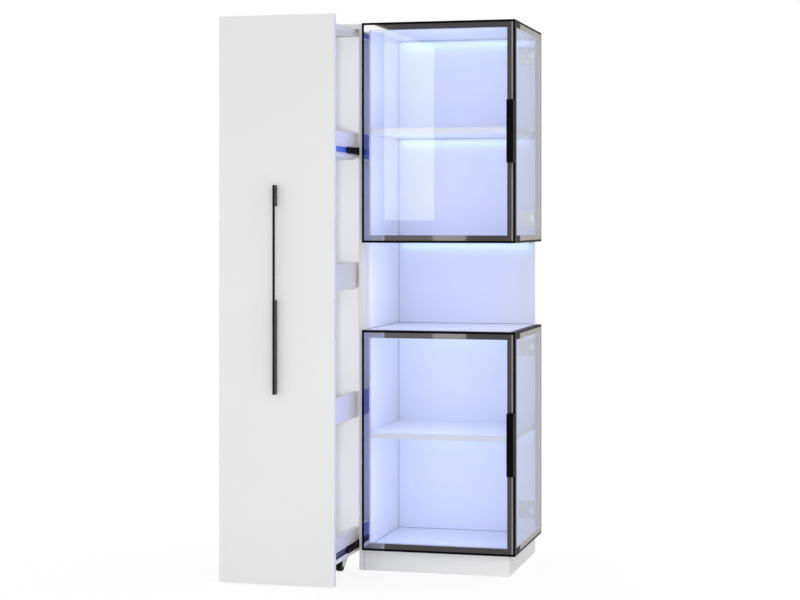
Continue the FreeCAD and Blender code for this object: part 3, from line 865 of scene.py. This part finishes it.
class BOOKCASE_OT_hinges(bpy.types.Operator):
    """Plate the hinges, and add their covers, leaves, screws and the door bumpers"""
    bl_idname = "bookcase.hinges"
    bl_label = "Hinges"

    # The fixed halves as they are built: offsets from the hinge edge, depths from the outer face
    plate_tall, plate_face, plate_start = 54 * MM, 5 * MM, CASE_FRONT - FRONT + 3 * MM
    arm_face, arm_tall = 10.5 * MM, 22 * MM
    cover_deeps = (plate_start - 1 * MM, plate_start + 12 * MM)
    arm_screw, plate_screw = plate_start + 16 * MM, plate_start + 25 * MM
    leaf_offsets = (3 * MM, 19 * MM)
    # Heights from a hinge's middle, up and down
    cover_rise, plate_screw_rise, leaf_screw_rise = 0.42 * arm_tall, 19 * MM, 24 * MM
    leaf_rises = (14 * MM, 34 * MM)
    cover_edge, leaf_edge, leaf_screw_share = 0.7 * MM, 0.4 * MM, 0.75
    bumper_inset, plate_lines = 14 * MM, (0.05, 0.05, 1.0)

    def heights(self, door):
        """The middle heights of a door's two hinges."""
        low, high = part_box(f"{door}_hinges")
        return low.z + self.plate_tall / 2, high.z - self.plate_tall / 2

    def covers(self, work, look):
        """A pressed cover on every hinge arm."""
        for door in DOORS:
            for height in self.heights(door):
                door_block(work, door, (self.arm_face, self.arm_face + look.cover_thick), self.cover_deeps,
                           (height - self.cover_rise, height + self.cover_rise), self.cover_edge)

    def leaves(self, work, look, door):
        """Two leaves for each hinge of a door, on the rear of its frame."""
        for height in self.heights(door):
            for way in (-1, 1):
                door_block(work, door, self.leaf_offsets, (DOOR_DEEP, DOOR_DEEP + look.leaf_thick),
                           [height + way * rise for rise in self.leaf_rises], self.leaf_edge)

    def execute(self, context):
        look = context.scene.bookcase.fittings
        finish = brushed_metal("nickel_plate", look.steel_colour, 1.0, 0.3, self.plate_lines, 0.05)
        bright = brushed_metal("bright_plate", look.cover_colour, 1.0, 0.3, self.plate_lines, 0.05)
        for item in nodes_of("hinge_steel"):
            dress(item, finish)
            if item.name.endswith("hinges"):
                round_edges(item, look.edge_radius)
        piece("hinge_covers", lambda work: self.covers(work, look), "carcass", bright)
        spots, facing = [], []
        leaf_middle, leaf_face = sum(self.leaf_offsets) / 2, DOOR_DEEP + look.leaf_thick
        for door in DOORS:
            outwards = door_spot(door, 1, 0, 0) - door_spot(door, 0, 0, 0)
            inwards = door_spot(door, 0, 1, 0) - door_spot(door, 0, 0, 0)
            leaf_spots = []
            for height in self.heights(door):
                for way in (-1, 1):
                    spots.append(door_spot(door, self.plate_face, self.plate_screw,
                                           height + way * self.plate_screw_rise))
                    leaf_spots.append(door_spot(door, leaf_middle, leaf_face,
                                                height + way * self.leaf_screw_rise))
                spots.append(door_spot(door, self.arm_face, self.arm_screw, height))
                facing += [outwards] * 3
            piece(f"{door}_hinge_leaves", lambda work: self.leaves(work, look, door),
                  door, finish)
            screws(f"{door}_leaf_screws", leaf_spots, [inwards] * len(leaf_spots), look, finish, door,
                   self.leaf_screw_share)
        screws("hinge_screws", spots, facing, look, bright, "carcass")
        self.bumpers(look)
        return {"FINISHED"}

    def bumpers(self, look):
        """Soft bumpers on the boards' edges, where the doors' free corners close."""
        soft = moulded("bumper_soft", look.bumper_colour, 0.35)
        spots, facing = [], []
        for board in ("display_top_panel", "upper_case_floor", "lower_case_top"):
            low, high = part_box(board)
            middle = (low.z + high.z) / 2
            spots += [(high.x - self.bumper_inset, low.y, middle),
                      (high.x, low.y + self.bumper_inset, middle)]
            facing += [(0, -1, 0), (1, 0, 0)]
        sizes = {"Radius": look.bumper_radius, "Height": look.bumper_height, "Material": soft}
        repeated(dome_nodes, "door_bumpers", spots, sizes, "carcass", facing)


class BOOKCASE_OT_runners(bpy.types.Operator):
    """Finish the telescopic runners, and add their stop collars and screws"""
    bl_idname = "bookcase.runners"
    bl_label = "Runners"

    # The middle and inner members as they are built
    middle_deep, middle_wall, inner_wall = 7 * MM, 1.6 * MM, 1.2 * MM
    screw_shares = (0.12, 0.5, 0.88)
    rails = {"bottom": "bottom", "high": "high_shelf"}

    def collars(self, work, look, level):
        """A stop collar in front of each middle runner of a level."""
        low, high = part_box(f"{level}_runner_middles")
        for web, way in ((low.x, 1), (high.x, -1)):
            back, mouth = web - way * look.collar_proud, web + way * self.middle_deep
            inside = web + way * self.middle_wall
            bottom, top = low.z - look.collar_proud, high.z + look.collar_proud
            floor, roof = low.z + self.middle_wall, high.z - self.middle_wall
            outline = [(back, bottom), (mouth, bottom), (mouth, floor), (inside, floor),
                       (inside, roof), (mouth, roof), (mouth, top), (back, top)]
            extrude(work, outline, low.y - look.collar_long, low.y)

    def execute(self, context):
        look = context.scene.bookcase.fittings
        dark = brushed_metal("runner_black_coat", look.runner_colour, 0.0, 0.4, ALONG_Y, gloss=0.04)
        # The bottom level's zinc is a darker copy of the high one, with painted shade
        zinc = {level: brushed_metal(f"runner_{level}_zinc", shade, 0.3, 0.3, ALONG_Y)
                for level, shade in (("bottom", look.low_zinc_painted_shade), ("high", look.zinc_colour))}
        stop = moulded("collar_nylon", look.runner_colour, 0.4)
        for item in nodes_of("runner_black"):
            dress(item, dark)
        for level, shelf in self.rails.items():
            dress(frame["nodes"][f"{level}_runner_inners"], zinc[level])
            piece(f"{level}_runner_collars", lambda work: self.collars(work, look, level),
                  "runner_middles", stop)
            low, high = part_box(f"{level}_runner_inners")
            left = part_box(f"{shelf}_left_rail")[0].x - self.inner_wall
            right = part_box(f"{shelf}_right_rail")[1].x + self.inner_wall
            spots, facing = [], []
            for part in self.screw_shares:
                along, middle = low.y + part * (high.y - low.y), (low.z + high.z) / 2
                spots += [(left, along, middle), (right, along, middle)]
                facing += [(-1, 0, 0), (1, 0, 0)]
            screws(f"{level}_runner_screws", spots, facing, look, zinc[level], "pull_out")
        return {"FINISHED"}


class BOOKCASE_OT_casters(bpy.types.Operator):
    """Replace the plain wheels by tyres and hubs, and finish the forks"""
    bl_idname = "bookcase.casters"
    bl_label = "Casters"

    # The casters as they are built
    axle_radius, bore_play, trail, plate_thick = 3 * MM, 0.1 * MM, 27 * MM, 3 * MM
    # Rim joint, wheel to the outside of the fork, and plate middle to a screw
    tyre_gap, fork_reach, screw_reach = 0.05 * MM, 3.5 * MM, 23 * MM
    # Half sections as shares of the half width and of the way out, from hub to tread or from bore to rim
    tyre_shares = (
        (0.91, 0.0), (1.0, 0.14), (1.0, 0.6), (0.91, 0.81), (0.72, 0.96), (0.18, 1.0), (0.11, 0.9))
    hub_shares = ((0.83, 0.0), (0.83, 0.26), (0.61, 0.34), (0.61, 0.83), (0.8, 1.0))

    def section(self, shares, half, start, end):
        """A closed section from half of it: right half as given, left half mirrored."""
        right = [(half * wide, start + (end - start) * out) for wide, out in shares]
        return right + [(-x, radius) for x, radius in reversed(right)]

    def execute(self, context):
        look = context.scene.bookcase.casters
        fittings = context.scene.bookcase.fittings
        rubber = moulded("tyre_rubber", look.tyre_colour, 0.62)
        nylon = moulded("hub_nylon", look.hub_colour, 0.45)
        plate = brushed_metal("fork_plate", look.fork_colour, 0.1, 0.4, (1.0, 1.0, 0.05), 0.05)
        for item in nodes_of("caster_fork"):
            dress(item, plate)
            round_edges(item, fittings.edge_radius)
        cap_spots, cap_facing, screw_spots = [], [], []
        screw_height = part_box("caster_forks")[1].z - self.plate_thick
        for end in ("front", "rear"):
            for side in ("left", "right"):
                wheel = f"{end}_{side}_wheel"
                low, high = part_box(wheel)
                centre, half, radius = (low + high) / 2, (high.x - low.x) / 2, (high.z - low.z) / 2
                rim = radius * look.hub_share
                outer = self.section(self.tyre_shares, half, rim + self.tyre_gap, radius)
                inner = self.section(self.hub_shares, half, self.axle_radius + self.bore_play, rim)
                tyre = piece(f"{wheel}_tyre", lambda work: lathe(work, outer, centre),
                             wheel, rubber)
                hub = piece(f"{wheel}_hub", lambda work: lathe(work, inner, centre),
                            wheel, nylon)
                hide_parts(wheel)
                smooth(tyre)
                smooth(hub)
                for way in (-1, 1):
                    cap_spots.append(centre + Vector((way * (half + self.fork_reach), 0, 0)))
                    cap_facing.append((way, 0, 0))
                    deep = centre.y + self.trail + way * self.screw_reach
                    screw_spots.append((centre.x, deep, screw_height))
        sizes = {"Radius": look.cap_radius, "Height": look.cap_thick, "Material": plate}
        repeated(dome_nodes, "axle_caps", cap_spots, sizes, "pull_out", cap_facing)
        screws("caster_screws", screw_spots, [(0, 0, -1)] * len(screw_spots), fittings, plate,
               "pull_out")
        return {"FINISHED"}


class BOOKCASE_OT_strips(bpy.types.Operator):
    """Replace the plain light strips by channels, frosted lenses and end caps"""
    bl_idname = "bookcase.strips"
    bl_label = "Light strips"

    ceilings = ("display_top_panel", "upper_shelf", "upper_case_floor", "lower_case_top", "lower_shelf")
    channel_edge, cap_edge, lens_inset, lens_round = 0.3 * MM, 0.8 * MM, MM, 0.4

    def lines(self, start, end, height):
        """A line along each strip, so far in from its two ends, at a height over its underside."""
        low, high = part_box("led_strips")
        deep = (low.y + high.y) / 2
        spots = []
        for board in self.ceilings:
            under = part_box(board)[0].z - STRIP_HIGH
            spots += [(low.x + start, deep, under + height), (high.x - end, deep, under + height)]
        return spots

    def execute(self, context):
        look = context.scene.bookcase.strips
        low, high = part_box("led_strips")
        wide, lens_high = high.y - low.y, STRIP_HIGH * look.lens_share
        channel_high = STRIP_HIGH - lens_high
        metal = brushed_metal("strip_channel", look.channel_colour, 0.9, 0.32, ALONG_X)
        cap = moulded("strip_cap", look.cap_colour, 0.5)
        edges = [(spot, spot + 1) for spot in range(0, 2 * len(self.ceilings), 2)]

        def bars(name, spots, section, radius, finish):
            sizes = {"Wide": section[0], "High": section[1], "Radius": radius, "Material": finish}
            return repeated(strip_nodes, name, spots, sizes, "carcass", edges=edges)

        cap_long = look.cap_long
        bars("strip_channels", self.lines(cap_long, cap_long, lens_high + channel_high / 2),
             (wide, channel_high), self.channel_edge, metal)
        lens = bars("strip_lenses", self.lines(cap_long, cap_long, lens_high / 2),
                    (wide - self.lens_inset, lens_high), self.lens_round * lens_high, lens_finish(look))
        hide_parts("led_strips")
        run = high.x - low.x - cap_long
        for side, start, end in (("left", 0, run), ("right", run, 0)):
            bars(f"strip_caps_{side}", self.lines(start, end, STRIP_HIGH / 2),
                 (wide, STRIP_HIGH), self.cap_edge, cap)
        return {"FINISHED"}


# Stage

# What mirrors see of the room: its bright side, where it turns bright, and how bright it is
ROOM_SIDE, ROOM_TURN, ROOM_GLOW = (0.45, 0.9, 0.0), (-0.35, 0.45), (0.115, 0.56)
# Soft boxes in front, by slant and by height: middle and half of the bright one
BOX_SLANT, BOX_HALF, BOX_LEVEL, BOX_HALF_TALL = 0.2466, 0.01, -0.035, 0.095
BOX_GLOW, DIM_BOX_GLOW = 0.355, 0.09
WHITE, WARM_WHITE = (1.0, 1.0, 1.0), (1.0, 0.98, 0.95)
# How bright the floor shows, and how far that covers its shadow
FLOOR_GLOW, FLOOR_COVER = 1.08, 0.8


def seen_by_eye(tree, path):
    """1 for what the camera sees, straight or through glass, before any matt surface."""
    sharp = sum_of(tree, "LESS_THAN", path["Diffuse Depth"], 0.5)
    through = sum_of(tree, "MULTIPLY", path["Is Transmission Ray"], sharp)
    return sum_of(tree, "MAXIMUM", path["Is Camera Ray"], through)


def soft_boxes(tree, way):
    """A tall bright box low in front of the glass column, and a dimmer one on its left."""
    at = add(tree, "ShaderNodeSeparateXYZ", {0: way}).outputs
    slant = sum_of(tree, "DIVIDE", at["X"], at["Y"])
    beside = sum_of(tree, "GREATER_THAN", slant, BOX_SLANT + BOX_HALF)
    bright = sum_of(tree, "MULTIPLY", near(tree, slant, BOX_SLANT, BOX_HALF), BOX_GLOW)
    both = sum_of(tree, "ADD", bright, sum_of(tree, "MULTIPLY", beside, DIM_BOX_GLOW))
    low = near(tree, at["Z"], BOX_LEVEL, BOX_HALF_TALL)
    ahead = sum_of(tree, "LESS_THAN", at["Y"], 0.0)
    return sum_of(tree, "MULTIPLY", both, sum_of(tree, "MULTIPLY", low, ahead))


def world_light(look):
    """White to the eye, even light on the surfaces, and a dark front in mirrors."""
    world = bpy.data.worlds.new("studio")
    world.use_nodes = True
    tree = world.node_tree
    tree.nodes.clear()
    path = add(tree, "ShaderNodeLightPath").outputs
    way = add(tree, "ShaderNodeTexCoord").outputs["Generated"]
    towards = add(tree, "ShaderNodeVectorMath", {0: way, 1: ROOM_SIDE}, operation="DOT_PRODUCT")
    room = add(tree, "ShaderNodeMapRange", {
        "Value": towards.outputs["Value"], "From Min": ROOM_TURN[0], "From Max": ROOM_TURN[1],
        "To Min": ROOM_GLOW[0], "To Max": ROOM_GLOW[1]}, interpolation_type="SMOOTHSTEP")
    mirrored = sum_of(tree, "ADD", room.outputs[0], soft_boxes(tree, way))

    def background(shade, strength):
        return add(tree, "ShaderNodeBackground", {"Color": rgba(shade), "Strength": strength}).outputs[0]

    even, room_light = background(WHITE, look.sky_glow), background(WARM_WHITE, mirrored)
    lit = mixed(tree, path["Is Glossy Ray"], even, room_light)
    shown = mixed(tree, seen_by_eye(tree, path), lit, background(WHITE, 1.0))
    add(tree, "ShaderNodeOutputWorld", {"Surface": shown})
    bpy.context.scene.world = world


def lit_only(item, names):
    """Keep a lamp's or a card's light to the named objects."""
    chosen = bpy.data.collections.new(f"{item.name}_targets")
    for name in names:
        chosen.objects.link(bpy.data.objects[name])
    item.light_linking.receiver_collection = chosen


def lamp(name, place, aim, size, power, shade=WHITE, targets=()):
    """A soft lamp that lights surfaces, or only the targets, and shows in nothing."""
    light = bpy.data.lights.new(name, "AREA")
    light.shape = "RECTANGLE"
    light.size, light.size_y = size
    light.energy = power
    light.color = shade
    item = bpy.data.objects.new(name, light)
    item.location = place
    item.rotation_euler = (Vector(aim) - Vector(place)).to_track_quat("-Z", "Z").to_euler()
    item.visible_camera = False
    item.visible_glossy = False
    item.visible_transmission = False
    bpy.context.scene.collection.objects.link(item)
    if targets:
        lit_only(item, targets)


def sheet_of(name, corners, finish):
    """A flat stage sheet between four corners."""
    mesh = bpy.data.meshes.new(name)
    mesh.from_pydata(corners, [], [(0, 1, 2, 3)])
    item = bpy.data.objects.new(name, mesh)
    bpy.context.scene.collection.objects.link(item)
    dress(item, finish)
    return item


def floor_finish(look):
    """Plain pale floor that reads white and keeps a soft shadow."""
    made, tree = new_finish("pale_floor")
    skin = effect(tree, lacquer_skin, Peel_Size=4 * MM, Drift_Size=0.8)
    tone = blend_colours(tree, skin["Tone"], rgba(look.floor_colour, 0.99), rgba(look.floor_colour))
    matt = add(tree, "ShaderNodeBsdfPrincipled", {"Base Color": tone, "Roughness": 0.9})
    white = add(tree, "ShaderNodeEmission", {"Color": rgba(WHITE), "Strength": FLOOR_GLOW})
    cover = seen_by_eye(tree, add(tree, "ShaderNodeLightPath").outputs)
    shown = mixed(tree, sum_of(tree, "MULTIPLY", cover, FLOOR_COVER), matt.outputs[0], white.outputs[0])
    add(tree, "ShaderNodeOutputMaterial", {"Surface": shown})
    return made


def mirror_card(name, across, deep, rise, targets, strength=1.0, shade=WHITE, sheer=True):
    """An upright card that only the named pieces mirror; a sheer one adds to what is behind it.

    One that isn't sheer hides what is behind it, and shows from the right only.
    """
    made, tree = new_finish(name)
    light = add(tree, "ShaderNodeEmission", {"Color": rgba(shade), "Strength": strength}).outputs[0]
    clear = add(tree, "ShaderNodeBsdfTransparent").outputs[0]
    if sheer:
        shown = add(tree, "ShaderNodeAddShader", {0: light, 1: clear}).outputs[0]
    else:
        shown = mixed(tree, add(tree, "ShaderNodeNewGeometry").outputs["Backfacing"], light, clear)
    add(tree, "ShaderNodeOutputMaterial", {"Surface": shown})
    corners = [(across, deep[0], rise[0]), (across, deep[1], rise[0]),
               (across, deep[1], rise[1]), (across, deep[0], rise[1])]
    card = sheet_of(name, corners, made)
    card.visible_camera = card.visible_diffuse = card.visible_shadow = False
    card.visible_transmission = sheer
    lit_only(card, targets)


def on_pull_out(name):
    """Whether a node is a board, a rail or an inner runner of the pull-out."""
    return name.startswith("pull_out") or name.endswith(("_rail", "_inners"))


def case_spaces():
    """Low and high corner of each lit space, from the boards round it."""
    boards = [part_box(name) for name in (
        "lower_case_floor", "lower_shelf", "lower_case_top",
        "upper_case_floor", "upper_shelf", "display_top_panel")]
    return [(Vector((INSIDE_LEFT, CASE_FRONT, below[1].z)), Vector((CASE_RIGHT, BACK_FACE, above[0].z)))
            for below, above in zip(boards, boards[1:])]


class BOOKCASE_OT_stage(bpy.types.Operator):
    """Set the floor, the lamps, the world and the camera"""
    bl_idname = "bookcase.stage"
    bl_label = "Stage"

    floor_half = 30.0
    # Cards far on the left that the upper front door mirrors, and those close to the pull-out
    pane_card_across, margin_card_across = -1.58, -1.581
    card_deep, card_rise, rail_card_gap = (-0.9, -6.87), (1.013, 2.2), 0.5 * MM
    # Place, aim and size of the lamps round the part
    front_lamp = ((0.6, -3.0, 0.4), (0.0, 0.0, 0.4), (3.0, 1.2))
    side_lamp = ((3.0, 2.2, 1.0), (0.0, 0.0, 0.8), (2.4, 2.4))
    low_lamp = ((0.3, -1.2, 0.15), (-0.05, 0.0, 0.03), (0.8, 0.2))
    fill_lamp = ((1.2, -4.5, 0.9), (-0.1, -0.1, 0.8), (0.5, 0.5))
    # Lamps that stand by a board: their level, their sizes and the gaps they keep
    lamp_level, edge_ahead, edge_tall = 0.8, 0.4, 1.9
    bay_size, bay_gap = (0.25, 1.4), 3 * MM
    spill_share, spill_gap = 0.8, 2 * MM
    case_inset, case_gap = 20 * MM, 2 * MM
    strip_ahead, strip_drop, strip_aim_drop, strip_tall = 14 * MM, 8 * MM, 60 * MM, 6 * MM
    # The camera
    sensor_wide, lens_length, lens_shift, far_end = 36.0, 79.5, (-0.0788, -0.1032), 200.0
    eye_place, eye_turn = (1.4263, -5.0118, 1.0328), (math.radians(90), 0, 0.234)

    def cards(self, look):
        """Cards that only the front doors mirror."""
        mirror_card("pane_card", self.pane_card_across, self.card_deep, self.card_rise,
                    ("upper_front_door_pane",), look.pane_card)
        mirror_card("margin_card", self.margin_card_across, self.card_deep, self.card_rise,
                    ("upper_front_door_margin",), look.margin_card)
        margins = [f"{case}_front_door_margin" for case in CASES]
        for name in RAIL_CARDS:
            low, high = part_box(name)
            mirror_card(f"{name}_card", high.x + self.rail_card_gap, (low.y, high.y), (low.z, high.z),
                        margins, shade=look.rail_card, sheer=False)

    def room_lamps(self, look, pulled):
        """Lamps in front of the part and on its right."""
        lamp("front_lamp", *self.front_lamp, look.front_glow, targets=(
            "pull_out_front", "pull_out_handle", "plinth_front", "left_side_panel", "divider_panel",
            "bay_top_panel"))
        lamp("side_lamp", *self.side_lamp, look.side_glow, targets=[
            item.name for item in bpy.data.objects
            if item.type == "MESH" and item.name != "pull_out_front"])
        lamp("low_lamp", *self.low_lamp, look.low_glow, targets=("plinth_front", "divider_panel"))
        low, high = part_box("divider_panel")
        across, level = (low.x + high.x) / 2, self.lamp_level
        lamp("edge_lamp", (across, low.y - self.edge_ahead, level), (across, low.y, level),
             (high.x - low.x, self.edge_tall), look.edge_glow, targets=("divider_panel",))
        near_lit = [name for name in pulled
                    if name.endswith(("_rail", "_back", "_bottom")) and not name.startswith("mid_shelf")]
        lamp("fill_lamp", *self.fill_lamp, look.fill_glow,
             targets=[*near_lit, "upper_shelf", "lower_shelf", "caster_forks", "axle_caps"])
        lamp("shelf_lamp", *self.fill_lamp, look.shelf_glow, look.spill_light,
             ("upper_shelf", "lower_shelf"))

    def inner_lamps(self, look, pulled):
        """Lamps in the bay, on the front doors, in the lit spaces and along their strips."""
        low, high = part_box("bay_top_panel")
        across, deep = (low.x + high.x) / 2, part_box("pull_out_back")[1].y + self.bay_gap
        lamp("bay_lamp", (across, deep, self.lamp_level), (across, BACK_FACE, self.lamp_level),
             self.bay_size, look.bay_glow)
        for case in CASES:
            low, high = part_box(f"{case}_front_door_frame")
            across, deep, level = (low.x + high.x) / 2, low.y - self.spill_gap, (low.z + high.z) / 2
            lamp(f"{case}_spill_lamp", (across, deep, level), (across, 2 * deep, level),
                 (self.spill_share * (high.x - low.x), self.spill_share * (high.z - low.z)),
                 look.spill_glow, look.spill_light, pulled)
        shelf_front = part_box("upper_shelf")[0].y
        for number, (low, high) in enumerate(case_spaces()):
            wide, tall = high.x - low.x - self.case_inset, high.z - low.z - self.case_inset
            heart = (low + high) / 2
            power, shade = look.case_glow, look.case_light
            if number == NICHE_SPACE:
                power, shade = look.niche_glow, look.niche_light
            lamp(f"case_lamp_{number}", (heart.x, shelf_front + self.case_gap, heart.z),
                 (heart.x, high.y, heart.z), (wide, tall), power * wide * tall, shade)
            lamp(f"strip_lamp_{number}", (heart.x, high.y - self.strip_ahead, high.z - self.strip_drop),
                 (heart.x, high.y, high.z - self.strip_aim_drop), (wide, self.strip_tall),
                 look.strip_glow, look.strip_light)

    def camera(self, context):
        """The photo's viewpoint, with its shifted lens."""
        view = bpy.data.cameras.new("photo_view")
        view.sensor_width, view.lens = self.sensor_wide, self.lens_length
        view.shift_x, view.shift_y = self.lens_shift
        view.clip_end = self.far_end
        eye = bpy.data.objects.new("photo_view", view)
        eye.location, eye.rotation_euler = self.eye_place, self.eye_turn
        context.scene.collection.objects.link(eye)
        context.scene.camera = eye

    def execute(self, context):
        look, half = context.scene.bookcase.stage, self.floor_half
        context.scene.view_settings.view_transform = "Standard"
        world_light(look)
        corners = [(-half, -half, 0), (half, -half, 0), (half, half, 0), (-half, half, 0)]
        sheet_of("floor", corners, floor_finish(look)).visible_glossy = False
        self.cards(look)
        pulled = [item.name for item in frame["nodes"].values() if on_pull_out(item.name)]
        self.room_lamps(look, pulled)
        self.inner_lamps(look, pulled)
        self.camera(context)
        return {"FINISHED"}


class BOOKCASE_PT_steps(bpy.types.Panel):
    """Lists the steps that dress the bookcase"""
    bl_label = "Bookcase"
    bl_idname = "BOOKCASE_PT_steps"
    bl_space_type = "VIEW_3D"
    bl_region_type = "UI"
    bl_category = "Bookcase"

    def draw(self, context):
        for step in STEPS:
            self.layout.operator(step.bl_idname)


STEPS = (
    BOOKCASE_OT_boards,
    BOOKCASE_OT_doors,
    BOOKCASE_OT_handles,
    BOOKCASE_OT_hinges,
    BOOKCASE_OT_runners,
    BOOKCASE_OT_casters,
    BOOKCASE_OT_strips,
    BOOKCASE_OT_stage,
)
SETTINGS = (BoardSettings, DoorSettings, FittingSettings, CasterSettings, StripSettings, StageSettings,
            BookcaseSettings)


def register():
    for kind in (*SETTINGS, *STEPS, BOOKCASE_PT_steps):
        bpy.utils.register_class(kind)
    bpy.types.Scene.bookcase = PointerProperty(type=BookcaseSettings)


def unregister():
    del bpy.types.Scene.bookcase
    for kind in reversed((*SETTINGS, *STEPS, BOOKCASE_PT_steps)):
        bpy.utils.unregister_class(kind)


def main():
    """Run the steps in order."""
    register()
    for step in STEPS:
        getattr(bpy.ops.bookcase, step.bl_idname.split(".")[1])()


if __name__ == "__main__":
    main()
